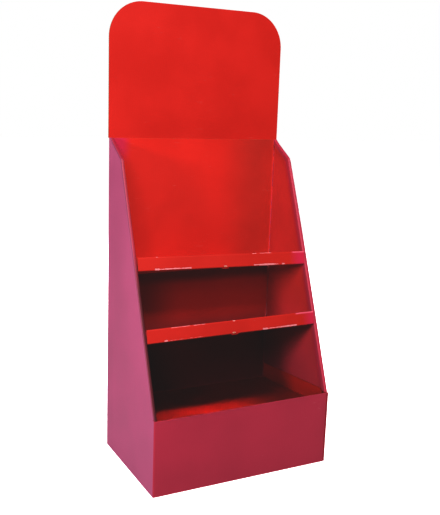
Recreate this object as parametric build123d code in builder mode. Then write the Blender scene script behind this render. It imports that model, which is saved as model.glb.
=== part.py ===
from build123d import *
from math import cos, radians, sin
import os

# Floor display stand of printed corrugated board, millimetres.
# +Z is up, the open front faces -Y, and the origin is on the floor under the middle of the stand.

# Overall sizes
stand_width = 600
stand_depth = 400
total_height = 1424

# Outer body: apron at the front, sides that lean back to a shoulder and then drop away to the back
apron_height = 234
shoulder_drop = 57
shoulder_depth = 108
side_height = 1012
side_top_depth = 14
flap_width = 36
flap_bevel = 14
glue_line = 0.2

# Board and folds
board = 3
fold_radius = 0.8
hem_return = 15
hem_slit = 2
hem_clearance = 0.5
fit_clearance = 0.3

# Header card: shoulders that sit on the sides, and a tongue in the pocket behind the liner
header_overhang = 3
header_corner = 110
tongue_depth = 220
tongue_side_clearance = 1
tongue_corner = 20
pocket_clearance = 0.4

# Shelves: height of the fold under each lip, and the slope of the floors down to the back
upper_lip_foot = 629
lower_lip_foot = 437
shelf_slope = 12
lip_height = 42
lip_gap = 1
lip_seat = 0.5
roll_share = 0.95
lock_tab_width = 24
lock_tab_reach = 2.5
side_tab_length = 44
side_tab_shares = (0.28, 0.74)
side_tab_reach_gap = 0.3
rear_tab_width = 60
rear_tab_spread = 150
rear_tab_reach = 0.6

# Base tray: heights of its floor at the front and the rear, and of the flanges above the floor
tray_front_height = 190
tray_rear_height = 160
tray_flange_height = 52
tray_clearance = 0.5
flange_inset = 4
flange_bevel = 20
leg_inset = 8

# One overrun serves every cut
overrun = 5

# Places worked out from the sizes above
half_width = stand_width / 2
front_y = -stand_depth / 2
back_y = stand_depth / 2
fold_line_radius = fold_radius + board / 2
hem_width = 3 * board + 2 * hem_clearance
pocket = board + 2 * pocket_clearance
liner_x = half_width - board - hem_clearance - board / 2
liner_y = back_y - board - pocket - board / 2
liner_inner_x = liner_x - board / 2
liner_face_y = liner_y - board / 2

# The sloping front edge of the sides, as (y, z) points from the apron to the top
edge_foot = (front_y + board, apron_height)
edge_shoulder = (back_y - shoulder_depth, side_height - shoulder_drop)
edge_top = (back_y - side_top_depth, side_height)


def front_edge_y(height):
    """Depth of the sloping front edge at a height between the apron and the shoulder."""
    rise_share = (height - edge_foot[1]) / (edge_shoulder[1] - edge_foot[1])
    return edge_foot[0] + rise_share * (edge_shoulder[0] - edge_foot[0])


def shelf_floor_plane(lip_foot):
    """Plane of a shelf's underside: x across the stand, y back along the floor, z off the floor."""
    slope = radians(shelf_slope)
    return Plane(
        origin=(0, front_edge_y(lip_foot), lip_foot),
        x_dir=(1, 0, 0),
        z_dir=(0, sin(slope), cos(slope)),
    )


def shelf_floor_length(lip_foot):
    """Length of a shelf's floor along its slope, from the lip to just short of the liner's back."""
    slope = radians(shelf_slope)
    run = liner_face_y - fit_clearance - front_edge_y(lip_foot) - board * sin(slope)
    return run / cos(slope)


os.makedirs("parts", exist_ok=True)
shelf_feet = {"upper_shelf": upper_lip_foot, "lower_shelf": lower_lip_foot}

# Outer body: one sheet folded into back, sides and apron, glued at the apron's right end
sheet_x = half_width - board / 2
sheet_y = back_y - board / 2
flap_x = half_width - board - glue_line - board / 2
hem_return_x = half_width - hem_width + board / 2
hem_set_back = board + fold_radius
flap_root_y = front_y + board + fold_radius
flap_end_y = front_y + board + flap_width
with BuildPart() as outer_body:
    with BuildSketch(Plane.XY):
        with BuildLine():
            FilletPolyline(
                (sheet_x, front_y),
                (sheet_x, sheet_y),
                (-sheet_x, sheet_y),
                (-sheet_x, -sheet_y),
                (flap_x, -sheet_y),
                (flap_x, flap_end_y),
                radius=fold_line_radius,
            )
        trace(line_width=board)
    extrude(amount=side_height)

    # The sides end at the folds of their hems, a little behind the sloping front edge
    with BuildSketch(Plane.YZ.offset(-half_width - overrun)):
        Polygon(
            edge_foot,
            edge_shoulder,
            edge_top,
            (edge_top[0], side_height + overrun),
            (front_y - overrun, side_height + overrun),
            (front_y - overrun, apron_height),
            align=None,
        )
        with BuildLine():
            Polyline(edge_foot, edge_shoulder, edge_top)
            offset(amount=hem_set_back, side=Side.RIGHT, kind=Kind.INTERSECTION)
        make_face()
    extrude(amount=stand_width + 2 * overrun, mode=Mode.SUBTRACT)

    # The glue flap inside the right side has bevelled ends, below the apron's top edge
    with BuildSketch(Plane.YZ.offset(flap_x - board / 2 - overrun)):
        Polygon(
            (flap_root_y, apron_height),
            (flap_end_y, apron_height - flap_bevel),
            (flap_end_y + overrun, apron_height - flap_bevel),
            (flap_end_y + overrun, side_height + overrun),
            (flap_root_y, side_height + overrun),
            align=None,
        )
        Polygon(
            (flap_root_y, 0),
            (flap_end_y, flap_bevel),
            (flap_end_y + overrun, flap_bevel),
            (flap_end_y + overrun, -overrun),
            (flap_root_y, -overrun),
            align=None,
        )
    extrude(amount=overrun + board + glue_line / 2, mode=Mode.SUBTRACT)

    # Hems: from a slit above the apron's fold up to the top, the sheet turns in across the front
    # edge and back again to grip the liner
    hem_foot = (front_edge_y(apron_height + hem_slit), apron_height + hem_slit)
    hem_rise = Vector(0, edge_shoulder[0] - hem_foot[0], edge_shoulder[1] - hem_foot[1])
    for side in (-1, 1):
        with BuildLine():
            Polyline(
                (side * sheet_x, *hem_foot),
                (side * sheet_x, *edge_shoulder),
                (side * sheet_x, *edge_top),
            )
        with BuildSketch(Plane(origin=(0, *hem_foot), x_dir=(1, 0, 0), z_dir=hem_rise)):
            with BuildLine():
                FilletPolyline(
                    (side * sheet_x, hem_return),
                    (side * sheet_x, board / 2),
                    (side * hem_return_x, board / 2),
                    (side * hem_return_x, hem_return),
                    radius=fold_line_radius,
                )
            trace(line_width=board)
        sweep(transition=Transition.RIGHT)

    # The returns stop short of the liner's back
    with BuildSketch(Plane.XY.offset(apron_height)):
        with Locations((0, liner_face_y - hem_clearance)):
            Rectangle(
                2 * liner_x,
                pocket + board,
                align=(Align.CENTER, Align.MIN),
            )
    extrude(amount=side_height, mode=Mode.SUBTRACT)
outer_body.part.label = "outer_body"
export_step(outer_body.part, "parts/outer_body.step")

# Inner liner: a U-shaped sheet whose front edges sit in the hems, slotted for the shelves
with BuildPart() as inner_liner:
    with BuildSketch(Plane.XY):
        with BuildLine():
            FilletPolyline(
                (liner_x, front_y),
                (liner_x, liner_y),
                (-liner_x, liner_y),
                (-liner_x, front_y),
                radius=fold_line_radius,
            )
        trace(line_width=board)
    extrude(amount=side_height)
    with BuildSketch(Plane.YZ.offset(-half_width)):
        Polygon(
            edge_foot,
            edge_shoulder,
            edge_top,
            (edge_top[0], side_height + overrun),
            (front_y - overrun, side_height + overrun),
            (front_y - overrun, apron_height),
            align=None,
        )
        with BuildLine():
            Polyline(edge_foot, edge_shoulder, edge_top)
            offset(amount=board + hem_clearance, side=Side.RIGHT, kind=Kind.INTERSECTION)
        make_face()
        with Locations((front_y - overrun, -overrun)):
            Rectangle(
                overrun + board + flap_width + hem_clearance,
                overrun + apron_height + hem_clearance,
                align=(Align.MIN, Align.MIN),
            )
        with Locations((edge_top[0] - board, side_height - board - hem_clearance)):
            Rectangle(2 * board + hem_clearance, board + overrun, align=(Align.MIN, Align.MIN))
    extrude(amount=stand_width, mode=Mode.SUBTRACT)
    for lip_foot in shelf_feet.values():
        floor_length = shelf_floor_length(lip_foot)
        with BuildSketch(shelf_floor_plane(lip_foot).offset(-fit_clearance)):
            with Locations([(0, share * floor_length) for share in side_tab_shares]):
                Rectangle(stand_width, side_tab_length + 2 * fit_clearance)
            with Locations((-rear_tab_spread, floor_length), (rear_tab_spread, floor_length)):
                Rectangle(rear_tab_width + 2 * fit_clearance, 2 * (board + overrun))
        extrude(amount=board + 2 * fit_clearance, mode=Mode.SUBTRACT)
inner_liner.part.label = "inner_liner"
export_step(inner_liner.part, "parts/inner_liner.step")

# Header card: rounded top corners, shoulders on the sides, tongue down the pocket
header_back_y = back_y - board - pocket_clearance
tongue_width = stand_width - 2 * board - 2 * tongue_side_clearance
with BuildPart() as header_card:
    with BuildSketch(Plane.XZ.offset(-header_back_y)):
        with Locations((0, side_height)):
            Rectangle(
                stand_width + 2 * header_overhang,
                total_height - side_height,
                align=(Align.CENTER, Align.MIN),
            )
            Rectangle(tongue_width, tongue_depth, align=(Align.CENTER, Align.MAX))
    extrude(amount=board)
    upright_edges = header_card.edges().filter_by(Axis.Y).group_by(Axis.Z)
    fillet(upright_edges[-1], radius=header_corner)
    upright_edges = header_card.edges().filter_by(Axis.Y).group_by(Axis.Z)
    fillet(upright_edges[0], radius=tongue_corner)
header_card.part.label = "header_card"
export_step(header_card.part, "parts/header_card.step")

# Shelves: a sloping floor, a lip rolled over double, a lock tab and tabs for the liner's slots
shelf_half = half_width - hem_width - hem_clearance
roll_width = board + lip_gap
side_tab_reach = half_width - board - side_tab_reach_gap - shelf_half
for name, lip_foot in shelf_feet.items():
    floor_plane = shelf_floor_plane(lip_foot)
    floor_length = shelf_floor_length(lip_foot)
    profile_plane = Plane(
        origin=floor_plane.origin - Vector(shelf_half, 0, 0),
        x_dir=floor_plane.y_dir,
        z_dir=(1, 0, 0),
    )
    with BuildPart() as shelf:
        with BuildSketch(profile_plane):
            with BuildLine():
                FilletPolyline(
                    (floor_length, board / 2),
                    (board / 2, board / 2),
                    (board / 2, lip_height - board / 2),
                    (board / 2 + roll_width, lip_height - board / 2),
                    (board / 2 + roll_width, board + lip_seat),
                    radius=[fold_line_radius, roll_share * roll_width / 2, roll_share * roll_width / 2],
                )
            trace(line_width=board)
        extrude(amount=2 * shelf_half)

        # Slot through the floor, and the lock tab of the lip's inner wall that drops through it
        with BuildSketch(floor_plane.offset(-overrun)):
            with Locations((0, roll_width + board / 2)):
                Rectangle(lock_tab_width + 2 * fit_clearance, board + 2 * fit_clearance)
        extrude(amount=overrun + board + lip_seat / 2, mode=Mode.SUBTRACT)
        with BuildSketch(floor_plane.offset(-lock_tab_reach)):
            with Locations((0, roll_width + board / 2)):
                Rectangle(lock_tab_width, board)
        extrude(amount=lock_tab_reach + board + lip_seat)

        # Tabs in the plane of the floor, at both sides and the rear
        with BuildSketch(floor_plane):
            with Locations([(0, share * floor_length) for share in side_tab_shares]):
                Rectangle(2 * (shelf_half + side_tab_reach), side_tab_length)
            with Locations((-rear_tab_spread, floor_length), (rear_tab_spread, floor_length)):
                Rectangle(rear_tab_width, 2 * (board + rear_tab_reach))
        extrude(amount=board)
    shelf.part.label = name
    export_step(shelf.part, f"parts/{name}.step")

# Base tray: sloping floor on two legs, with flanges turned up against the liner's sides
tray_half = liner_inner_x - tray_clearance
leg_half = tray_half - leg_inset
leg_front_y = front_y + board + tray_clearance + board / 2
leg_rear_y = liner_face_y - tray_clearance - board / 2
tray_slope = (tray_front_height - tray_rear_height) / (leg_rear_y - leg_front_y)


def tray_floor_z(depth):
    """Height of the middle of the tray's floor board at a depth."""
    return tray_front_height - board / 2 - tray_slope * (depth - leg_front_y)


wing_front_y = leg_front_y + flange_inset
wing_rear_y = leg_rear_y - flange_inset
wing_front = Vector(0, wing_front_y, tray_floor_z(wing_front_y))
wing_rear = Vector(0, wing_rear_y, tray_floor_z(wing_rear_y))
wing_run = wing_front - wing_rear
flange_x = tray_half - board / 2
flange_top = board / 2 + tray_flange_height
with BuildPart() as base_tray:
    with BuildSketch(Plane.YZ.offset(-leg_half)):
        with BuildLine():
            FilletPolyline(
                (leg_front_y, 0),
                (leg_front_y, tray_floor_z(leg_front_y)),
                (leg_rear_y, tray_floor_z(leg_rear_y)),
                (leg_rear_y, 0),
                radius=fold_line_radius,
            )
        trace(line_width=board)
    extrude(amount=2 * leg_half)

    # The floor's wings, with a flange folded up along each side
    with BuildSketch(Plane(origin=wing_rear, x_dir=(1, 0, 0), z_dir=wing_run)):
        with BuildLine():
            FilletPolyline(
                (-flange_x, flange_top),
                (-flange_x, 0),
                (flange_x, 0),
                (flange_x, flange_top),
                radius=fold_line_radius,
            )
        trace(line_width=board)
    extrude(amount=wing_run.length)

    # The flanges' front corners are cut off, to pass behind the hems
    flange_corners = base_tray.edges().filter_by(Axis.X).group_by(Axis.Z)[-1]
    chamfer(flange_corners, length=flange_bevel)
base_tray.part.label = "base_tray"
export_step(base_tray.part, "parts/base_tray.step")
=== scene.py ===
# %% [markdown]
# # A cardboard display stand
# The stand is folded from printed corrugated board: an outer body, a liner inside it, two shelves
# with rolled lips, a base tray and a header card. Each sheet starts as a flat die-cut blank, so
# each new piece here starts the same way: a grid of points on the blank, some cells cut away, and a
# formula that folds the grid up. A Solidify modifier then gives the sheet the board's thickness.

import bpy
import numpy as np
from mathutils import Matrix, Vector


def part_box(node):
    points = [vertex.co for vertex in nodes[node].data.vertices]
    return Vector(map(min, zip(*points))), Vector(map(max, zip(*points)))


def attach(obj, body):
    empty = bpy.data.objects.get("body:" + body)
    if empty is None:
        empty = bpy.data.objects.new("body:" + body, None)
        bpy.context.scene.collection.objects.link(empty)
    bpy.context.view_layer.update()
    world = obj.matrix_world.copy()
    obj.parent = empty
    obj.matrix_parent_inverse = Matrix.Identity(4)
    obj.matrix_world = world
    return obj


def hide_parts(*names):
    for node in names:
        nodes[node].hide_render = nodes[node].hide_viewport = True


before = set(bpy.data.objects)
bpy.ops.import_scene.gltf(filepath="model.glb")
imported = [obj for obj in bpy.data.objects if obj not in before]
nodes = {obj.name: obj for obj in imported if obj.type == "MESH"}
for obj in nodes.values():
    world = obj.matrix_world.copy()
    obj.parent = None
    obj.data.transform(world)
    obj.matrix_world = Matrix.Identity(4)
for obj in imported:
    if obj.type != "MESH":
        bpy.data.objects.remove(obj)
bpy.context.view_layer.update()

# %% [markdown]
# ## Sizes
# The overall sizes are read from the CAD nodes, so the sheets land exactly where the solids are.
# What a box can't tell, such as the slope of the sides or the radius of a fold, is named here.

# %% Sizes of the board and of the body
MM = 0.001
board = 3 * MM
fold_radius = 2.3 * MM
flute_pitch = 6.5 * MM

body_low, body_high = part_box("outer_body")
liner_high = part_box("inner_liner")[1]
half_width = body_high.x
front_y, back_y = body_low.y, body_high.y
side_height = body_high.z
apron_height = 234 * MM
shoulder_depth, shoulder_z = 108 * MM, 955 * MM
top_depth = 14 * MM
shoulder_y = back_y - shoulder_depth
top_y = back_y - top_depth
sheet_x = half_width - board / 2
sheet_y = back_y - board / 2
liner_face_y = liner_high.y - board
print("body", round(2 * half_width, 3), "x", round(back_y - front_y, 3), "x", round(side_height, 3))

# %% [markdown]
# ## Camera
# The camera stands at the front left, a little above the middle of the stand, as in the photograph.
# It could be placed by eye, but it was fitted to the corners of the stand, which is closer and gave
# it a slight roll as well. The plain "Standard" view keeps the saturated reds as they are, where a
# filmic view would wash them out. A gamma below 1 deepens the middle tones, for the photograph's
# strong contrast, and a black level below 0 lifts the darkest shadows a little off black.

# %% Camera
image_height_px = 515
focal_px = 769.9
eye = np.array([-1107.3, -2091.7, 1124.9]) * MM
yaw, pitch, roll = np.radians([27.845, 11.25, 2.036])

ahead = np.array([np.sin(yaw) * np.cos(pitch), np.cos(yaw) * np.cos(pitch), -np.sin(pitch)])
level = np.array([np.cos(yaw), -np.sin(yaw), 0.0])
upward = np.cross(level, ahead)
right = np.cos(roll) * level + np.sin(roll) * upward
up = np.cos(roll) * upward - np.sin(roll) * level

camera_data = bpy.data.cameras.new("camera")
camera_data.lens = focal_px * camera_data.sensor_width / image_height_px
camera = bpy.data.objects.new("camera", camera_data)
turn_and_place = np.eye(4)
turn_and_place[:3] = np.stack([right, up, -ahead, eye], axis=1)
camera.matrix_world = Matrix(turn_and_place.tolist())
bpy.context.scene.collection.objects.link(camera)
bpy.context.scene.camera = camera
print("camera at", eye.round(3), "lens", round(camera_data.lens, 1), "mm")

# %% Tones of the view
view_gamma, black_level = 0.7, -0.03
view = bpy.context.scene.view_settings
view.view_transform = "Standard"
view.gamma = view_gamma
view.use_curve_mapping = True
view.curve_mapping.black_level = (black_level, black_level, black_level)
view.curve_mapping.update()
print("view", view.view_transform, "gamma", view_gamma)

# %% [markdown]
# ## Folding a blank
# A folded board is a run of flat panels joined by small arcs. `fold_path` draws that middle line,
# and `sheet` turns a grid of folded points into a mesh. Cells that the die cuts away are left out,
# and Solidify adds the thickness: the face, the reverse and the cut edge each take a material slot
# of their own. A Cloth simulation could fold a blank as well, but board bends only at its creases.


# %% The middle line of a folded board
def fold_path(corners, radii, steps, arc_points=7):
    """Middle line of a folded board: straight runs joined by an arc at each corner.

    An arc begins radius times tan(turn / 2) before its corner, and its centre lies one radius off
    the run, on the side that the path turns to. Each run is divided evenly by about its step.
    Returns the points and the distance of each along the path.
    """
    corners = np.asarray(corners, float)
    legs = np.diff(corners, axis=0)
    along = legs / np.linalg.norm(legs, axis=1)[:, None]
    left = np.stack([-along[:, 1], along[:, 0]], axis=1)
    cross = along[:-1, 0] * along[1:, 1] - along[:-1, 1] * along[1:, 0]
    turn = np.arctan2(cross, np.sum(along[:-1] * along[1:], axis=1))
    radii = np.broadcast_to(radii, turn.shape)
    steps = np.broadcast_to(steps, len(legs))
    setback = radii * np.abs(np.tan(turn / 2))
    starts = corners[:-1] + along * np.r_[0, setback][:, None]
    ends = corners[1:] - along * np.r_[setback, 0][:, None]
    runs = []
    for i, (start, end) in enumerate(zip(starts, ends)):
        count = max(2, round(np.linalg.norm(end - start) / steps[i]) + 1)
        runs.append(start + np.linspace(0, 1, count)[:, None] * (end - start))
        if i < len(turn):
            centre = end + np.sign(turn[i]) * radii[i] * left[i]
            swing = np.linspace(0, turn[i], arc_points)[1:-1, None]
            spoke = end - centre
            across = np.array([-spoke[1], spoke[0]])
            runs.append(centre + np.cos(swing) * spoke + np.sin(swing) * across)
    points = np.concatenate(runs)
    distance = np.r_[0, np.cumsum(np.linalg.norm(np.diff(points, axis=0), axis=1))]
    return points, distance


def with_marks(points, distance, marks):
    """The same path with extra points at the given distances, found by linear interpolation."""
    wanted = np.unique(np.r_[distance, marks].round(7))
    return np.stack([np.interp(wanted, distance, axis) for axis in points.T], axis=1), wanted


# %% A sheet of board from its grid
crisp_angle = np.radians(50)


def sheet(name, points, keep, blank, materials, slot, flip=False, **attributes):
    """A sheet of board. `points` is its middle surface on a grid, `keep` says which cells are board.

    `blank` holds each point's place on the flat blank, in metres, and becomes the UV map. Quads
    join neighbouring grid points, and points that no kept cell uses are dropped. The printed side
    is the one that the cross product of row and column directions points to, or with `flip` the
    other. The attributes `wear`, `field` and `trim` go to the points for the print to read.
    """
    rows, columns = points.shape[:2]
    index = np.arange(rows * columns).reshape(rows, columns)
    quads = np.stack([index[:-1, :-1], index[1:, :-1], index[1:, 1:], index[:-1, 1:]], axis=-1)
    quads = quads[keep][:, ::-1] if flip else quads[keep]
    used, flat = np.unique(quads, return_inverse=True)
    mesh = bpy.data.meshes.new(name)
    mesh.from_pydata(points.reshape(-1, 3)[used].tolist(), [], flat.reshape(-1, 4).tolist())
    uv = mesh.uv_layers.new(name="blank")
    uv.data.foreach_set("uv", blank.reshape(-1, 2)[used][flat.ravel()].astype(np.float32).ravel())
    for label in ("wear", "field", "trim"):
        values = attributes.get(label, np.zeros((rows, columns)))
        attribute = mesh.attributes.new(label, "FLOAT", "POINT")
        attribute.data.foreach_set("value", values.reshape(-1)[used].astype(np.float32))
    for material in materials:
        mesh.materials.append(material)
    mesh.shade_smooth()
    piece = bpy.data.objects.new(name, mesh)
    bpy.context.scene.collection.objects.link(piece)
    solidify = piece.modifiers.new("board thickness", "SOLIDIFY")
    solidify.thickness = board
    solidify.offset = 0
    solidify.use_even_offset = True
    solidify.material_offset = 1
    solidify.material_offset_rim = 2
    crisp = piece.modifiers.new("crisp cut edges", "EDGE_SPLIT")
    crisp.split_angle = crisp_angle
    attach(piece, "root")
    print(name, "grid", rows, "x", columns, "cells", len(quads))
    return piece


# %% Helpers for grids
def blank_places(points):
    """Place of each grid point on the flat blank: distance along its row, and along its column."""
    u = np.cumsum(np.linalg.norm(np.diff(points, axis=1, prepend=points[:, :1]), axis=2), axis=1)
    v = np.cumsum(np.linalg.norm(np.diff(points, axis=0, prepend=points[:1]), axis=2), axis=0)
    return np.stack([u, v], axis=-1)


def mirrored(half):
    """Places across a piece from those of its right half, which start at 0: the same to the left."""
    half = np.unique(half.round(6))
    return np.r_[-half[:0:-1], half]


def uneven(place, seed, lengths):
    """Smooth unevenness from -1 to 1: the mean of sine waves of these lengths, with seeded phases."""
    phases = np.random.default_rng(seed).uniform(0, 2 * np.pi, len(lengths))
    waves = [np.sin(2 * np.pi * place / length + phase) for length, phase in zip(lengths, phases)]
    return np.mean(waves, axis=0)


# %% [markdown]
# ## Printed board
# The print is flat colour on a white-coated paper. Under it the flutes of the board show through as
# very faint ribs, the ink is a little cloudy, and handling leaves fine scuffs. Where the paper is
# rubbed through, it shows pale. An image could hold all this, but nodes stay sharp at any distance.
# A small class keeps the node code short.

# %% A short way to write materials
# The Mix node's colour sockets go by number, because those for values have the same names.
COLOUR_A, COLOUR_B, COLOUR_OUT = 6, 7, 2


class Finish:
    """A material with a Principled shader, and short calls for the nodes that the finishes use."""

    def __init__(self, name):
        self.material = bpy.data.materials.new(name)
        self.material.use_nodes = True
        self.tree = self.material.node_tree
        self.shader = self.tree.nodes["Principled BSDF"]

    def node(self, kind, inputs=None, **settings):
        """A new node, with its settings, and with its inputs linked or set."""
        node = self.tree.nodes.new("ShaderNode" + kind)
        for name, value in settings.items():
            setattr(node, name, value)
        for name, value in (inputs or {}).items():
            self.put(node.inputs[name], value)
        return node

    def put(self, socket, value):
        """Links a socket to another, or sets it to a constant."""
        if isinstance(value, bpy.types.NodeSocket):
            self.tree.links.new(value, socket)
        elif socket.type == "RGBA":
            socket.default_value = (*value, 1)
        else:
            socket.default_value = value

    def place(self):
        """Object coordinates, in metres."""
        return self.node("TexCoord").outputs["Object"]

    def facing(self):
        """The surface's direction, on the object's own axes."""
        return self.node("TexCoord").outputs["Normal"]

    def along_blank(self):
        """Distance across the flutes on the flat blank, in metres."""
        return self.parts(self.node("UVMap", uv_map="blank").outputs[0])[0]

    def value(self, name):
        """A value that the piece's points carry."""
        return self.node("Attribute", attribute_name=name).outputs["Fac"]

    def parts(self, vector):
        """The x, y and z of a vector."""
        return self.node("SeparateXYZ", {"Vector": vector}).outputs[:]

    def math(self, operation, a, b=0.0):
        return self.node("Math", {0: a, 1: b}, operation=operation).outputs[0]

    def plus(self, a, b):
        return self.math("ADD", a, b)

    def minus(self, a, b):
        return self.math("SUBTRACT", a, b)

    def times(self, a, b):
        return self.math("MULTIPLY", a, b)

    def larger(self, a, b):
        return self.math("MAXIMUM", a, b)

    def without_sign(self, a):
        return self.math("ABSOLUTE", a)

    def ramp(self, value, low, high, to_low=0.0, to_high=1.0):
        """Smooth step of a value from one range to another."""
        inputs = {"Value": value, "From Min": low, "From Max": high, "To Min": to_low, "To Max": to_high}
        return self.node("MapRange", inputs, interpolation_type="SMOOTHSTEP").outputs[0]

    def noise(self, vector, scale, detail=2.0):
        inputs = {"Vector": vector, "Scale": scale, "Detail": detail}
        return self.node("TexNoise", inputs).outputs["Fac"]

    def stretched_noise(self, vector, scales):
        """Noise with a scale of its own along each axis, for streaks and fibres."""
        stretched = self.node("VectorMath", {0: vector, 1: scales}, operation="MULTIPLY").outputs[0]
        return self.noise(stretched, scale=1, detail=3)

    def waves(self, along):
        """The flutes under the paper: a sine of the distance across them."""
        return self.math("SINE", self.times(along, 2 * np.pi / flute_pitch))

    def shaded(self, colour, tone):
        """A colour made darker or paler by a factor."""
        return self.node("HueSaturation", {"Color": colour, "Value": tone}).outputs[0]

    def mix(self, share, a, b):
        """Colour a, or b where the share is 1."""
        inputs = {"Factor": share, COLOUR_A: a, COLOUR_B: b}
        return self.node("Mix", inputs, data_type="RGBA").outputs[COLOUR_OUT]

    def bump(self, height):
        """Normals of a relief whose height is in millimetres."""
        return self.node("Bump", {"Height": height, "Distance": MM}).outputs["Normal"]

    def set(self, **sockets):
        """Sets or links the shader's own sockets, named with underscores for spaces."""
        for name, value in sockets.items():
            self.put(self.shader.inputs[name.replace("_", " ")], value)
        return self.material


# %% The look of print
paper_white = (0.66, 0.54, 0.52)
print_gloss = 0.3
# Noise keeps near 0.5, so the ramps spread its middle range.
noise_middle, noise_most = (0.3, 0.7), (0.2, 0.8)
cloud_scale, grain_scale, patch_scale = 6, 700, 14
streak_scales = (35, 35, 420)
cloud_tones, grain_tones, rib_tone = (0.95, 1.04), (-0.025, 0.025), 0.01
streak_peaks, patch_peaks, scuff_share = (0.63, 0.74), (0.56, 0.7), 0.12
print_roughness = (0.42, 0.52)
rib_relief, grain_relief = 0.01, 0.02


def printed(finish, ink, along):
    """Colour, roughness and relief of print: cloudy ink, faint ribs of the flutes, fine scuffs."""
    place = finish.place()
    cloud = finish.noise(place, cloud_scale, detail=3)
    grain = finish.noise(place, grain_scale)
    rib = finish.waves(along)
    tone = finish.plus(finish.ramp(cloud, *noise_middle, *cloud_tones), finish.times(rib, rib_tone))
    tone = finish.plus(tone, finish.ramp(grain, *noise_most, *grain_tones))
    streak = finish.ramp(finish.stretched_noise(place, streak_scales), *streak_peaks, 0, scuff_share)
    patch = finish.ramp(finish.noise(place, patch_scale), *patch_peaks)
    colour = finish.mix(finish.times(streak, patch), finish.shaded(ink, tone), paper_white)
    rough = finish.ramp(cloud, *noise_middle, *print_roughness)
    relief = finish.plus(finish.times(rib, rib_relief), finish.times(grain, grain_relief))
    return colour, rough, relief


# %% The look of plain board
kraft_pale, kraft_dark = (0.42, 0.27, 0.14), (0.26, 0.15, 0.075)
kraft_roughness = 0.82
fibre_scales, kraft_cloud_scale = (900, 900, 160), 9
fibre_tones, kraft_cloud_tones, kraft_rib = (0.9, 1.06), (0.93, 1.05), 0.03


def plain_kraft(finish, along):
    """Colour and relief of the unprinted side: short fibres, cloudy patches, ribs of the flutes."""
    place = finish.place()
    fibre = finish.ramp(finish.stretched_noise(place, fibre_scales), *noise_middle, *fibre_tones)
    cloud = finish.noise(place, kraft_cloud_scale, detail=3)
    rib = finish.times(finish.waves(along), kraft_rib)
    tone = finish.plus(fibre, rib)
    tone = finish.times(tone, finish.ramp(cloud, *noise_middle, *kraft_cloud_tones))
    return finish.shaded(kraft_pale, tone), rib


# %% [markdown]
# ### Worn print, plain board and cut edges
# A sheet has three finishes. Its face is printed in up to three inks, and where it is rubbed the
# paper under the ink shows. Its reverse is red or plain brown. Its cut edge shows the flutes end on,
# as darker and paler bands. The inks could be materials on chosen faces, but then each border would
# have to follow the grid. Values on the points let a border lie anywhere and fade.

# %% Finishes of the new sheets
rubbed_pink, chipped_board = (0.6, 0.22, 0.24), (0.5, 0.25, 0.07)
tear_scale, tear_strength = 420, 0.9
bare_wear, chipped_wear = (0.42, 0.5), (1.15, 1.4)
bare_roughness, bare_relief = 0.85, 0.12
cut_band, cut_roughness = (-0.6, 0.6), 0.9


def print_finish(name, ink, field_ink, trim_ink):
    """Print on a sheet: an ink, others where `field` or `trim` is 1, and pale paper where worn."""
    finish = Finish(name)
    inks = finish.mix(finish.value("field"), ink, field_ink)
    inks = finish.mix(finish.value("trim"), inks, trim_ink)
    colour, rough, relief = printed(finish, inks, finish.along_blank())
    torn = finish.minus(finish.noise(finish.place(), tear_scale, detail=4), 0.5)
    worn = finish.plus(finish.value("wear"), finish.times(torn, tear_strength))
    bare = finish.ramp(worn, *bare_wear)
    paper = finish.mix(finish.ramp(worn, *chipped_wear), rubbed_pink, chipped_board)
    colour = finish.mix(bare, colour, paper)
    rough = finish.larger(rough, finish.times(bare, bare_roughness))
    normal = finish.bump(finish.minus(relief, finish.times(bare, bare_relief)))
    return finish.set(Base_Color=colour, Roughness=rough, Specular_IOR_Level=print_gloss, Normal=normal)


def kraft_finish(name):
    """The plain brown side of a sheet."""
    finish = Finish(name)
    colour, relief = plain_kraft(finish, finish.along_blank())
    return finish.set(Base_Color=colour, Roughness=kraft_roughness, Normal=finish.bump(relief))


def cut_finish(name, dark, pale):
    """The cut edge of a board, darker and paler in short bands where the flutes are cut."""
    finish = Finish(name)
    x, y, z = finish.parts(finish.place())
    band = finish.ramp(finish.waves(finish.plus(finish.plus(x, y), z)), *cut_band)
    return finish.set(Base_Color=finish.mix(band, dark, pale), Roughness=cut_roughness)


# %% The sheets' inks
pink_ink = (0.515, 0.12, 0.241)
crimson_ink = (0.4, 0.028, 0.065)
# Painted shade on the left hem: a near-black crimson, used low down.
hem_shade_ink = (0.1, 0.006, 0.015)
red_ink = (0.48, 0.009, 0.0015)
lip_ink = (0.455, 0.013, 0.0045)
magenta_ink = (0.5, 0.013, 0.062)
pale_pink_ink = (0.6, 0.1, 0.16)
stain_dark, stain_pale = (0.34, 0.022, 0.05), (0.44, 0.032, 0.075)
red_cut_dark, red_cut_pale = (0.3, 0.012, 0.008), (0.42, 0.03, 0.02)

pink_print_and_shade = print_finish("pink_print_and_shade", pink_ink, crimson_ink, hem_shade_ink)
red_print = print_finish("red_print", red_ink, red_ink, red_ink)
lip_print = print_finish("lip_print", lip_ink, magenta_ink, pale_pink_ink)
reverse = kraft_finish("plain_kraft")
cut_edge = cut_finish("cut_edge", kraft_dark, kraft_pale)
stained_edge = cut_finish("stained_edge", stain_dark, stain_pale)
red_edge = cut_finish("red_edge", red_cut_dark, red_cut_pale)
print("finishes", [material.name for material in bpy.data.materials])

# %% [markdown]
# ## Outer body
# One sheet goes round the stand: glue flap, apron, left side, back and right side. Above the apron
# the sides lean back, and their front edges are folded in and back again as hems that grip the
# liner. On the grid, rows are heights and columns run round the blank. Below the slit the first
# columns are the flap and the apron, and above it the same columns are the left hem. Large panels
# of board are never quite flat: both sides bow out, and the right one along its front edge too. A
# box with faces cut away would be quicker, but its hems would be separate pieces with sharp folds.

# %% Outer body: its front edge
edge_foot_y = front_y + board
lean = (shoulder_y - edge_foot_y) / (shoulder_z - apron_height)
chamfer = (top_y - shoulder_y) / (side_height - shoulder_z)


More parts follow.
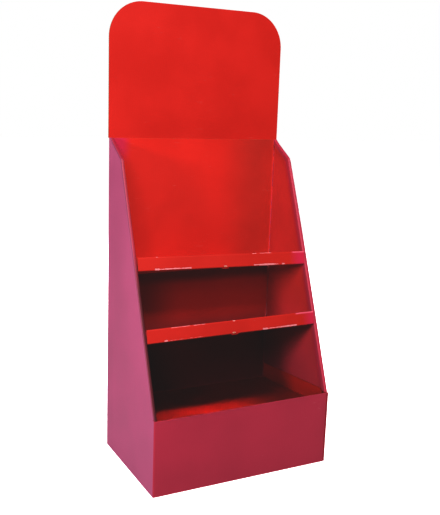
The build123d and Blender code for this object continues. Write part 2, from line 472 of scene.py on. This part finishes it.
def edge_y(height, inset=0.0):
    """Depth of the sides' front edge at a height, moved back by an inset square to the edge.

    The edge is two straight lines, the lean and the chamfer above the shoulder. A line that runs
    back k for each metre of rise moves inset times sqrt(1 + k * k) along y when it is moved square
    to itself, and of the two lines the one further back is the edge.
    """
    leaning = edge_foot_y + lean * (height - apron_height) + inset * np.hypot(1, lean)
    cut_back = shoulder_y + chamfer * (height - shoulder_z) + inset * np.hypot(1, chamfer)
    return np.maximum(leaning, cut_back)


print("sides lean back", round(float(np.degrees(np.arctan(lean))), 1), "degrees")

# %% Outer body: folds of the apron and of the hems
hem_return, hem_width = 15 * MM, 10 * MM
flap_width = 36 * MM
glue_line = 0.2 * MM
flap_step, panel_step, hem_step = 6 * MM, 12 * MM, 3 * MM
flap_x = half_width - board - glue_line - board / 2
flap_end_y = edge_foot_y + flap_width
hem_return_x = half_width - hem_width + board / 2

apron_corners = [
    (flap_x, flap_end_y),
    (flap_x, -sheet_y),
    (-sheet_x, -sheet_y),
    (-sheet_x, -sheet_y + 2 * fold_radius),
]
apron_path = fold_path(apron_corners, fold_radius, [flap_step, panel_step, fold_radius])[0][:-2]
hem_corners = [
    (-hem_return_x, hem_return),
    (-hem_return_x, board / 2),
    (-sheet_x, board / 2),
    (-sheet_x, hem_return),
]
hem_path, hem_run = fold_path(hem_corners, fold_radius, hem_step)
hem_places = np.linspace(0, hem_run[-1], len(apron_path) + 1)[:-1]
left_hem = np.stack([np.interp(hem_places, hem_run, axis) for axis in hem_path.T], axis=1)
right_hem = (hem_path[::-1] * (-1, 1))[1:]
back_corners = [
    (-sheet_x, sheet_y - 2 * fold_radius),
    (-sheet_x, sheet_y),
    (sheet_x, sheet_y),
    (sheet_x, sheet_y - 2 * fold_radius),
]
back_path = fold_path(back_corners, fold_radius, [fold_radius, panel_step, fold_radius])[0][2:-2]
print("columns: apron", len(apron_path), "back", len(back_path), "hem", len(right_hem))

# %% Outer body: rows of the grid, closer together at the shoulder
hem_slit = 2 * MM
shoulder_zone, zone_foot, zone_top = 14 * MM, 16 * MM, 17 * MM
low_rows = np.linspace(0, apron_height, 15)
high_rows = np.r_[
    np.linspace(apron_height + hem_slit, shoulder_z - zone_foot, 42),
    np.linspace(shoulder_z - shoulder_zone, shoulder_z + shoulder_zone, 15),
    np.linspace(shoulder_z + zone_top, side_height, 12),
]
height = np.r_[low_rows, high_rows][:, None]
low = height <= apron_height
print("rows", len(low_rows), "on the apron and", len(high_rows), "above it")

# %% Outer body: how its sides bow
# Half a sine wave across each side and up it, and half a wave up the right front edge.
side_bow, edge_bow = 1.4 * MM, 2.7 * MM
share = np.linspace(0, 1, 34)
bow = side_bow * np.sin(np.pi * share) * np.sin(np.pi * height / side_height)
up_edge = np.clip((height - apron_height) / (shoulder_z - apron_height), 0, 1)
bulge = edge_bow * np.sin(np.pi * up_edge)
over_hem = np.clip((right_hem[:, 0] - hem_return_x) / (sheet_x - hem_return_x), 0, 1)
print("bow", round(bow.max() / MM, 2), "mm, at the right edge", round(bulge.max() / MM, 2), "mm")

# %% Outer body: the folded sheet
# Above the shoulder the hems get narrower, so that they end in front of the liner's back panel.
hem_gap = 0.5 * MM
flap_bevel = 14 * MM
hem_stop_y = liner_face_y - hem_gap
room = (hem_stop_y - edge_y(height)) / (hem_return * np.hypot(1, chamfer))
squeeze = np.where(height > shoulder_z, np.clip(room, 0, 1), 1)
side_front = edge_y(height, hem_return * squeeze)
left_front = np.where(low, -sheet_y + fold_radius, side_front)
right_front = np.where(low, front_y, side_front)
back_fold_y = sheet_y - fold_radius
every_row = np.ones_like(height)

# Columns in turn: flap and apron or left hem, left side, back, right side, right hem.
body_x = np.hstack([
    np.where(low, apron_path[:, 0], left_hem[:, 0]),
    -sheet_x - bow,
    every_row * back_path[:, 0],
    sheet_x + np.maximum(bow, bulge * np.sin(np.pi / 2 * share)),
    right_hem[:, 0] + bulge * over_hem,
])
body_y = np.hstack([
    np.where(low, apron_path[:, 1], edge_y(height, left_hem[:, 1] * squeeze)),
    left_front + share * (back_fold_y - left_front),
    every_row * back_path[:, 1],
    back_fold_y + share * (right_front - back_fold_y),
    edge_y(height, right_hem[:, 1] * squeeze),
])
on_flap = low & (body_x > flap_x - board / 4) & (body_x < flap_x + board / 4)
bevel = np.where(on_flap, flap_bevel * np.clip((body_y - edge_foot_y) / flap_width, 0, 1), 0)
body_z = bevel + height * (1 - 2 * bevel / apron_height)
body_points = np.stack([body_x, body_y, body_z], axis=-1)
print("folded grid", body_points.shape[:2], "deepest point", round(body_y.max(), 4))

# %% [markdown]
# ### Print of the outer body
# The sides and the back are pink and the apron is crimson. At the left the pink runs on round the
# edge, and the hem behind it is darkened below by painted shade and turns crimson higher up. The
# right hem is crimson all the way. Faces could be picked by hand for this. Here the inks and the
# painted shade come from how far each point lies along the hem's path, so they follow the fold.

# %% Outer body: its inks, and painted shade on the left hem
hem_turn = 1.2 * MM
left_wrap, wrap_shade = 2.8 * MM, 0.58
# Below 580 mm the left hem is darkened by painted shade, which fades to crimson higher up.
hem_shade_top, hem_fade, hem_crimson_share = 580 * MM, 120 * MM, 0.75
first_side = len(apron_path)
last_side = body_x.shape[1] - len(right_hem) - 1
at_left = np.arange(body_x.shape[1]) < first_side
fold_end = hem_run[-1] - (hem_return - board / 2 - fold_radius)
side_places = np.full(last_side + 1 - first_side, fold_end + hem_turn)
along_hem = np.r_[hem_places, side_places, hem_run[::-1][1:]]


def into_hem(place):
    """Share of each point above the apron: 1 from the hem's free edge up to a place, then fading to 0."""
    return np.where(low, 0, np.clip((place - along_hem) / hem_turn + 1, 0, 1))


turned = into_hem(fold_end)
on_hem = into_hem(fold_end - np.where(at_left, left_wrap, 0))
paler_up = hem_crimson_share * np.clip((height - hem_shade_top) / hem_fade, 0, 1)
crimson_field = np.where(at_left & low, 1, on_hem)
# Painted shade on the left hem, and partly on the pink just round its edge.
hem_painted_shade = np.where(at_left, on_hem * (1 - paler_up) + wrap_shade * (turned - on_hem), 0)
print("crimson on", round(crimson_field.mean(), 2), "of the grid, dark on", round(hem_painted_shade.mean(), 2))

# %% Outer body: cut it out and place it
column = np.arange(body_x.shape[1] - 1)
row = np.arange(len(height) - 1)[:, None]
slit_row = len(low_rows) - 1
body_keep = (row > slit_row) | (column < last_side) & ((row < slit_row) | (column >= first_side))
outer_body = sheet(
    "outer_body_sheet", body_points, body_keep, blank_places(body_points),
    (pink_print_and_shade, red_print, stained_edge), "outer_print", field=crimson_field, trim=hem_painted_shade,
)
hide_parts("outer_body")

# %% [markdown]
# ## Header card
# The header is one flat card with rounded top corners. Its tongue drops into the pocket between the
# back and the liner, and two small shoulders rest on the sides. Columns run across the card and
# rows from the tongue's foot up to the top. A free card is never quite flat, so it leans back a
# little and has a slight wave. An extruded outline would be simpler, but only a grid can bend so.

# %% Header card: its outline
header_low, header_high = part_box("header_card")
header_half = header_high.x
header_corner = 110 * MM
tongue_clearance, tongue_corner = 1 * MM, 20 * MM
tongue_half = half_width - board - tongue_clearance

round_off = np.linspace(0, np.pi / 2, 25)
corner_x = header_half - header_corner + header_corner * np.sin(round_off)
tongue_round_x = tongue_half - tongue_corner + tongue_corner * np.sin(round_off[::3])
straight_x = np.linspace(0, header_half - header_corner, 16)
header_x = mirrored(np.r_[straight_x, corner_x, tongue_round_x])


def rounded(x, half, radius):
    """How far a rounded corner of this radius lies within the square one, at a distance x across."""
    into = np.clip(np.abs(x) - (half - radius), 0, radius)
    return radius - np.sqrt(radius**2 - into**2)


header_top = header_high.z - rounded(header_x, header_half, header_corner)
within_tongue = np.minimum(np.abs(header_x), tongue_half)
tongue_foot = header_low.z + rounded(within_tongue, tongue_half, tongue_corner)
print("header", round(2 * header_half, 3), "wide, top at", round(header_high.z, 3))

# %% Header card: bend it, cut it out and place it
# The lean grows with the square of the height above the sides, and the wave with the height.
header_lean = 2 * MM
wave_height, wave_length, wave_start = 0.4 * MM, 700 * MM, 0.15
tongue_share = np.linspace(0, 1, 9)[:-1, None]
card_share = np.linspace(0, 1, 26)[:, None]
header_z = np.vstack([
    tongue_foot + tongue_share * (side_height - tongue_foot),
    side_height + card_share * (header_top - side_height),
])
rise = np.clip((header_z - side_height) / (header_high.z - side_height), 0, 1)
wave = wave_height * np.sin(2 * np.pi * (header_x / wave_length + wave_start))
header_y = (header_low.y + header_high.y) / 2 + header_lean * rise**2 + wave * rise
header_points = np.stack(np.broadcast_arrays(header_x, header_y, header_z), axis=-1)
out_from_middle = (np.abs(header_x[1:]) + np.abs(header_x[:-1])) / 2
on_card = np.arange(len(header_z) - 1)[:, None] >= len(tongue_share)
header_keep = on_card | (out_from_middle < tongue_half)
header = sheet(
    "header_sheet", header_points, header_keep, blank_places(header_points),
    (red_print, reverse, cut_edge), "red_print", flip=True,
)
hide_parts("header_card")

# %% [markdown]
# ## Shelves
# Each shelf is one blank: a sloping floor, a lip that rises at the front and rolls back down double,
# a lock tab that drops through the floor, and tabs that sit in the liner's slots. A row of the grid
# is a step along that profile and a column is a step across the shelf. The lips are what hands
# touch, so their edges are rubbed: stretches where the paper shows pale, and a chip at the middle.
# They were locked in by hand and lie a little askew, so the floor bends to them behind the fold.
# The roll could be bevelled boxes, but on a profile each point knows how far it is from an edge.

# %% Shelf sizes
slope = np.radians(12)
lip_height = 42 * MM
roll_gap, roll_roundness = 1 * MM, 0.95
roll_width = board + roll_gap
roll_radius = roll_roundness * roll_width / 2
lip_seat, fit_clearance = 0.5 * MM, 0.3 * MM
lock_tab_half, lock_tab_reach = 12 * MM, 2.5 * MM
side_tab_length, side_tab_shares = 44 * MM, (0.28, 0.74)
rear_tab_half, rear_tab_spread, rear_tab_reach = 30 * MM, 150 * MM, 3.6 * MM
hem_clearance = 0.5 * MM
shelf_half = half_width - hem_width - hem_clearance
tab_half = half_width - board - fit_clearance

rear_tabs = np.r_[rear_tab_spread - rear_tab_half, rear_tab_spread + rear_tab_half]
cuts = np.r_[lock_tab_half, lock_tab_half + fit_clearance, rear_tabs, shelf_half, tab_half]
shelf_x = mirrored(np.r_[np.linspace(0, shelf_half, 133), cuts])
print("shelf", round(2 * shelf_half, 3), "wide between its tabs,", len(shelf_x), "columns")

# %% Shelf: its profile
profile_steps = [12 * MM, 2 * MM, 1 * MM, 4 * MM]


def shelf_profile(floor_length):
    """Middle line of a shelf: from the rear tabs along the floor, up the lip, over it and down again.

    Returns its points, as distance along the floor and height off it, the distance of each along
    the line, and the places on the line where the board is folded or cut.
    """
    corners = [
        (floor_length + rear_tab_reach, board / 2),
        (board / 2, board / 2),
        (board / 2, lip_height - board / 2),
        (board / 2 + roll_width, lip_height - board / 2),
        (board / 2 + roll_width, -lock_tab_reach),
    ]
    radii = [fold_radius, roll_radius, roll_radius]
    path, distance = fold_path(corners, radii, profile_steps, arc_points=9)
    fold = rear_tab_reach + floor_length - board / 2 - fold_radius
    lip_rise = lip_height - board - fold_radius - roll_radius
    places = {
        "fold": fold,
        "foot": fold + fold_radius * np.pi / 4,
        "top": fold + fold_radius * np.pi / 2 + lip_rise + roll_radius * np.pi / 4,
        "slot": rear_tab_reach + floor_length - roll_width - board - fit_clearance,
        "wall end": distance[-1] - (lock_tab_reach + board + lip_seat),
        "side tabs": [rear_tab_reach + floor_length * (1 - share) for share in side_tab_shares],
    }
    tab_ends = np.add.outer(places["side tabs"], (-side_tab_length / 2, side_tab_length / 2))
    marks = [rear_tab_reach, *tab_ends.ravel(), places["slot"], places["wall end"]]
    return *with_marks(path, distance, marks), places


# %% Shelf: what the die leaves
def shelf_cut(x, distance, places):
    """Cells that are board: the floor and the lip, the side, rear and lock tabs, but not the slot."""
    middle = (distance[1:] + distance[:-1])[:, None] / 2
    out = np.abs(x[1:] + x[:-1]) / 2
    from_tabs = np.abs(np.subtract.outer(places["side tabs"], middle))
    keep = (out < shelf_half) | np.any(from_tabs < side_tab_length / 2, axis=0)
    keep &= (middle > rear_tab_reach) | (np.abs(out - rear_tab_spread) < rear_tab_half)
    keep &= (middle < places["wall end"]) | (out < lock_tab_half)
    beside_slot = out > lock_tab_half + fit_clearance
    return keep & ((middle < places["slot"]) | (middle > places["fold"]) | beside_slot)


# %% [markdown]
# ### Wear of the lips
# Goods and hands rub the lips along their edges, until the ink is gone and the paper shows pale. It
# could be painted on by hand. A list of stretches, each with its ends, width and depth, can be held
# against the photograph and changed by a number. The same values press the board in a little.

# %% Shelf: wear along an edge
ends_fade = 5 * MM
ragged_share, ragged_lengths = 0.45, (6 * MM, 13 * MM, 31 * MM, 67 * MM)


def rubbed(x, off_edge, stretches, seed):
    """Wear from 0 to its depth along an edge, the most of all stretches, listed in millimetres.

    Each stretch runs from one x to another. Its wear is full within half its width of the edge and
    ends at one and a half, the width is uneven along x, and both ends fade out.
    """
    ragged = 1 + ragged_share * uneven(x, seed, ragged_lengths)
    wear = np.zeros(np.broadcast_shapes(np.shape(x), np.shape(off_edge)))
    for start, end, width, depth in stretches:
        inside = np.clip(np.minimum(x - start * MM, end * MM - x) / ends_fade + 0.5, 0, 1)
        near = np.clip(1.5 - np.abs(off_edge) / (width * MM * ragged), 0, 1)
        wear = np.maximum(wear, depth * inside * near)
    return wear


# %% Shelf: relief of the lip
dent_depth = 0.4 * MM
buckle_depth, buckle_lengths = 0.2 * MM, (95 * MM, 210 * MM, 330 * MM)
chip_depth, chip_width, chip_rise = 1.6 * MM, 4 * MM, 2 * MM


def lip_relief(x, distance, places, wear, seed):
    """How far the board is pressed in: where it is worn, in long buckles, and at the chip.

    The chip is the product of two bell curves, one across the shelf and one along the profile.
    """
    on_lip = distance[:, None] > places["fold"]
    buckle = buckle_depth * uneven(x, seed, buckle_lengths)
    off_foot = (distance - places["foot"])[:, None]
    chip = chip_depth * np.exp(-(x / chip_width) ** 2) * np.exp(-(off_foot / chip_rise) ** 2)
    return np.where(on_lip, dent_depth * np.clip(wear, 0, 1) + buckle, 0) + chip


# %% Shelf: fold it, print it and place it
bend_length = 30 * MM
rub_rise = 2.5 * MM
field_fade, line_fade = 32 * MM, 6 * MM
line_width, line_reach = 2.2 * MM, 1.6


def shelf_sheet(node, lip_foot, end_rises, foot_wear, top_wear, field_from, line_from, seed):
    """A shelf as a folded blank. Its profile, along the floor and off it, is carried across in x.

    A point a along the floor and h off it lies at a * (cos, -sin) + h * (sin, cos) of the slope
    from the lip's foot, in depth and height. The lip's left and right ends rise by `end_rises`
    along the sloping front edge. Right of `field_from`, in millimetres, the lip is magenta, and
    right of `line_from` a pale line runs along its top and ends `line_reach` widths off it.
    """
    foot_y = float(edge_y(lip_foot))
    run = liner_face_y - fit_clearance - foot_y - board * np.sin(slope)
    path, distance, places = shelf_profile(run / np.cos(slope))
    x = shelf_x
    off_foot = (distance - places["foot"] - rub_rise)[:, None]
    off_top = (distance - places["top"])[:, None]
    wear = np.maximum(rubbed(x, off_foot, foot_wear, seed), rubbed(x, off_top, top_wear, seed + 1))
    push = lip_relief(x, distance, places, wear, seed + 2)

    ahead_a, ahead_h = np.gradient(path, distance, axis=0).T
    length = np.hypot(ahead_a, ahead_h)
    a = path[:, :1] + push * (ahead_h / length)[:, None]
    h = path[:, 1:] - push * (ahead_a / length)[:, None]
    at_lip = np.clip((distance - places["fold"]) / bend_length + 1, 0, 1)[:, None]
    askew = at_lip**2 * (3 - 2 * at_lip) * np.interp(x, (-shelf_half, shelf_half), end_rises)
    y = foot_y + a * np.cos(slope) + h * np.sin(slope) + lean * askew
    z = lip_foot - a * np.sin(slope) + h * np.cos(slope) + askew
    points = np.stack(np.broadcast_arrays(x, y, z), axis=-1)

    on_lip = distance[:, None] > places["fold"]
    field = np.where(on_lip, np.clip((x - field_from * MM) / field_fade + 0.5, 0, 1), 0)
    along_line = np.clip((x - line_from * MM) / line_fade + 0.5, 0, 1)
    trim = along_line * np.clip(line_reach - np.abs(off_top) / line_width, 0, 1)
    piece = sheet(
        node + "_sheet", points, shelf_cut(x, distance, places), blank_places(points),
        (lip_print, red_print, red_edge), "red_print", flip=True, wear=wear, field=field, trim=trim,
    )
    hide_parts(node)


# %% The two shelves, with their worn stretches: from, to, width and depth
shelf_sheet(
    "upper_shelf", 629 * MM, end_rises=(7 * MM, -5.8 * MM),
    foot_wear=[
        (-237, -222, 2.6, 1.0), (-224, -116, 1.6, 0.9), (-6, 4, 1.8, 1.6),
        (98, 125, 1.8, 0.75), (118, 176, 2.6, 0.85), (176, 192, 1.6, 0.8), (202, 214, 1.8, 0.85),
    ],
    top_wear=[(-232, -224, 1.2, 0.8), (96, 112, 1.4, 0.8), (122, 168, 1.0, 0.62)],
    field_from=250, line_from=244, seed=11,
)
shelf_sheet(
    "lower_shelf", 437 * MM, end_rises=(0, 2.5 * MM),
    foot_wear=[
        (-236, -225, 2.4, 1.05), (-224, -108, 1.1, 0.6), (-9, 1, 1.8, 1.6),
        (98, 116, 3.0, 1.05), (112, 168, 1.3, 0.85), (162, 224, 2.2, 0.9),
    ],
    top_wear=[(-213, -150, 1.0, 0.66), (-140, -99, 1.0, 0.66), (-5, 2, 1.2, 1.5)],
    field_from=261, line_from=222, seed=23,
)

# %% [markdown]
# ## Liner and base tray
# These two keep their CAD solids, whose shape is right, and only get a finish. One finish has to
# tell the printed side from the plain one, so it compares the surface's direction with its place:
# the liner's print faces the middle of the stand, and the tray's faces up. The liner's red carries
# painted shade: it is darker at the foot, in a band under the upper shelf and towards some corners.
# It turns magenta along the front edges, and its two rear folds are cracked, with painted shade in
# the crease near the top. Painted values on the points would do too, but a solid from CAD has few
# points, so ramps over the place are finer.


# %% A finish for both sides of a board
def two_sided(finish, ink, printed_side, along):
    """Print where `printed_side` is 1, and plain kraft elsewhere."""
    colour, rough, relief = printed(finish, ink, along)
    brown, ribs = plain_kraft(finish, along)
    colour = finish.mix(printed_side, brown, colour)
    rough = finish.ramp(printed_side, 0, 1, kraft_roughness, rough)
    normal = finish.bump(finish.ramp(printed_side, 0, 1, ribs, relief))
    return finish.set(Base_Color=colour, Roughness=rough, Specular_IOR_Level=print_gloss, Normal=normal)


# %% The liner's inks and its painted shade, and where each begins and is full, in metres
liner_ink = (0.56, 0.015, 0.0055)
# Painted shade: the upper right of the back is darker.
back_right_shade_ink, upper_right_x, upper_right_z = (0.39, 0.015, 0.006), (0.06, 0.24), (0.56, 0.64)
# Painted shade: the left of the middle bay's back is darker.
back_left_shade_ink, middle_left_x, middle_left_z = (0.33, 0.012, 0.006), (0.0, -0.24), (0.62, 0.56)
# Painted shade: the back is darker at its foot, and a painted shadow lies in a band just under the upper
# shelf.
back_foot_shade_ink, back_foot_shade_z = (0.2, 0.01, 0.014), (0.45, 0.36)
below_shelf_z, shelf_back_z = (0.525, 0.56), (0.59, 0.58)
side_wall_ink, wall_x = (0.53, 0.026, 0.021), (0.286, 0.291)
# Painted shade: the side walls turn darker towards their foot.
wall_foot_shade_ink, wall_foot_shade_z = (0.4, 0.024, 0.044), (0.6, 0.25)
edge_inset = (42 * MM, 12 * MM)
top_left_x, top_left_z = (-0.225, -0.262), (0.92, 0.985)


def liner_inks_and_shade(finish, x, y, z):
    """The liner's inks by place: back and side walls with painted shade, and magenta fields at the edges.
    """
    on_wall = finish.ramp(finish.without_sign(x), *wall_x)
    # Where painted shade darkens the back: its upper right, the left of the middle bay, a band under the
    # upper shelf.
    upper_right_shade = finish.times(finish.ramp(x, *upper_right_x), finish.ramp(z, *upper_right_z))
    middle_left_shade = finish.times(finish.ramp(x, *middle_left_x), finish.ramp(z, *middle_left_z))
    below_shelf_shadow = finish.times(finish.ramp(z, *below_shelf_z), finish.ramp(z, *shelf_back_z))
    back = finish.mix(upper_right_shade, liner_ink, back_right_shade_ink)
    back = finish.mix(middle_left_shade, back, back_left_shade_ink)
    # Painted shade at the back's foot, and painted shadow under the upper shelf.
    back = finish.mix(finish.larger(finish.ramp(z, *back_foot_shade_z), below_shelf_shadow), back, back_foot_shade_ink)
    # Painted shade darkens the walls towards their foot.
    wall = finish.mix(finish.ramp(z, *wall_foot_shade_z), side_wall_ink, wall_foot_shade_ink)
    off_lean = finish.minus(y, finish.times(finish.minus(z, apron_height), lean))
    off_edge = finish.minus(off_lean, edge_foot_y)
    edge_field = finish.times(on_wall, finish.ramp(off_edge, *edge_inset))
    top_field = finish.times(finish.ramp(x, *top_left_x), finish.ramp(z, *top_left_z))
    return finish.mix(finish.larger(edge_field, top_field), finish.mix(on_wall, back, wall), magenta_ink)


# %% The liner's finish
crack_width, crack_scales, crack_gaps = (2 * MM, 1 * MM), (200, 200, 60), (0.35, 0.6)
# Near the top the fold's line turns dark: painted shade in the crease.
low_crack_ink, crack_ink, top_crease_shade_ink = (0.36, 0.16, 0.2), (0.36, 0.035, 0.11), (0.2, 0.012, 0.05)
crack_z, top_crease_shade_z = (0.6, 0.68), (0.8, 0.9)
liner_inside = (-0.01, -0.02)


def liner_finish():
    """The liner: red on the inside with painted shade, its two rear folds cracked pale, and painted shade
    in the crease near the top.
    """
    finish = Finish("liner_print_and_shade")
    x, y, z = finish.parts(finish.place())
    facing_x, facing_y, _ = finish.parts(finish.facing())
    outwards = finish.plus(finish.times(facing_x, x), finish.times(facing_y, y))
    from_side = finish.without_sign(finish.minus(finish.without_sign(x), liner_high.x - board))
    from_back = finish.without_sign(finish.minus(y, liner_face_y))
    at_fold = finish.ramp(finish.larger(from_side, from_back), *crack_width)
    broken = finish.ramp(finish.stretched_noise(finish.place(), crack_scales), *crack_gaps)
    bare = finish.mix(finish.ramp(z, *crack_z), low_crack_ink, crack_ink)
    # Painted shade in the crease near the top.
    bare = finish.mix(finish.ramp(z, *top_crease_shade_z), bare, top_crease_shade_ink)
    ink = finish.mix(finish.times(at_fold, broken), liner_inks_and_shade(finish, x, y, z), bare)
    return two_sided(finish, ink, finish.ramp(outwards, *liner_inside), finish.plus(x, y))


# %% The tray's finish, and both put on
facing_up, flange_inside = (0.4, 0.6), (0.01, 0.02)


def tray_finish():
    """The tray: red on the floor's top and on the flanges' inner faces."""
    finish = Finish("tray_print")
    x, y, _ = finish.parts(finish.place())
    facing_x, _, facing_z = finish.parts(finish.facing())
    inwards = finish.times(finish.times(facing_x, x), -1.0)
    upper = finish.larger(finish.ramp(facing_z, *facing_up), finish.ramp(inwards, *flange_inside))
    return two_sided(finish, red_ink, upper, y)


for node, material in (("inner_liner", liner_finish()), ("base_tray", tray_finish())):
    nodes[node].data.materials.clear()
    nodes[node].data.materials.append(material)
    print("finished", node, "with", material.name)

# %% [markdown]
# ## Floor
# A pale floor runs out into a white background. Near the stand it takes the light and the shadows,
# and further off it glows by itself for the camera alone, so that no horizon shows. A curved backdrop
# would do the same, but only for one side. For bounced light it is a dim floor, because the bays of
# the real stand are nearly black.

# %% Floor
floor_half = 20
floor_roughness = 0.9
glow_reach, glow_strength = (0.35, 0.9), (0.6, 1.0)
bounced_tone, seen_tone = 0.2, 0.8
floor_corners = np.array([(-1, -1, 0), (1, -1, 0), (1, 1, 0), (-1, 1, 0)]) * floor_half
floor_mesh = bpy.data.meshes.new("floor")
floor_mesh.from_pydata(floor_corners.tolist(), [], [(0, 1, 2, 3)])
floor = bpy.data.objects.new("floor", floor_mesh)
bpy.context.scene.collection.objects.link(floor)

pale_floor = Finish("pale_floor")
from_stand = pale_floor.node("VectorMath", {0: pale_floor.place()}, operation="LENGTH").outputs["Value"]
seen = pale_floor.node("LightPath").outputs["Is Camera Ray"]
glow = pale_floor.times(seen, pale_floor.ramp(from_stand, *glow_reach, *glow_strength))
tone = pale_floor.ramp(seen, 0, 1, bounced_tone, seen_tone)
pale = pale_floor.node("CombineXYZ", {0: tone, 1: tone, 2: tone}).outputs[0]
floor_mesh.materials.append(pale_floor.set(
    Base_Color=pale, Roughness=floor_roughness, Emission_Color=(1, 1, 1), Emission_Strength=glow,
))
print("floor", 2 * floor_half, "m across")

# %% [markdown]
# ## Light and background
# The key hangs high in front. A small fill shows the middle bay, and a side light makes the pink of
# the left side and the slanting edge of light on the right wall. The rear, right and back lights are
# for the sides that the photograph doesn't show. The tray has two lights of its own, a narrow one on
# the front of its floor and a low one on its flange. Flags keep the key and the fill off it, which
# Blender does by light linking. One large soft light would be simpler, but it would fill the bays.


# %% Lights
def area_light(name, place, target, size, power, tray=None, spread=180):
    """A square soft light at a place, turned to look at a target, with its beam's spread in degrees.

    With `tray` set, the light leaves the base tray out or lights nothing else, as a flag would.
    """
    data = bpy.data.lights.new(name, "AREA")
    data.size = size
    data.energy = power
    data.spread = np.radians(spread)
    light = bpy.data.objects.new(name, data)
    light.location = place
    light.rotation_euler = (Vector(target) - Vector(place)).to_track_quat("-Z", "Y").to_euler()
    bpy.context.scene.collection.objects.link(light)
    if tray:
        linked = bpy.data.collections.new(name + " and the tray")
        linked.objects.link(nodes["base_tray"])
        linked.collection_objects[0].light_linking.link_state = tray
        light.light_linking.receiver_collection = linked
    print("light", name, power, "W")


area_light("key", (-0.5, -3.4, 4.15), target=(0, 0, 0.8), size=1.2, power=325, tray="EXCLUDE")
area_light("fill", (-1.1, -1.18, 1.21), target=(0, 0, 0.6), size=0.35, power=7, tray="EXCLUDE")
area_light(
    "steep", (-0.4, -1.12, 2.6), target=(-0.07, -0.16, 0.19), size=0.3, power=0.42,
    tray="INCLUDE", spread=6,
)
area_light("low", (-1.5, -1.2, 0.5), target=(0.28, 0, 0.2), size=0.3, power=9, tray="INCLUDE")
area_light("side", (-3.4, -1.0, 1.28), target=(0, 0, 0.5), size=0.5, power=74)
area_light("rear", (-2.4, 0.9, 0.8), target=(0, 0.1, 0.5), size=1.0, power=15)
area_light("right", (3.4, 1.0, 1.6), target=(0.3, 0.1, 0.6), size=1.4, power=95)
area_light("back", (0.7, 3.6, 1.9), target=(0, 0.2, 0.7), size=1.4, power=105)

# %% Background: white for the camera, and a dim light for the stand
sky_light, sky_seen = 0.015, 1.0
world = bpy.data.worlds.new("studio")
bpy.context.scene.world = world
world.use_nodes = True
sky = world.node_tree.nodes["Background"]
sky.inputs["Color"].default_value = (1, 1, 1, 1)
camera_ray = world.node_tree.nodes.new("ShaderNodeLightPath").outputs["Is Camera Ray"]
strength = world.node_tree.nodes.new("ShaderNodeMapRange")
strength.inputs["To Min"].default_value = sky_light
strength.inputs["To Max"].default_value = sky_seen
world.node_tree.links.new(camera_ray, strength.inputs["Value"])
world.node_tree.links.new(strength.outputs[0], sky.inputs["Strength"])
print("background", world.name, "gives", sky_light)
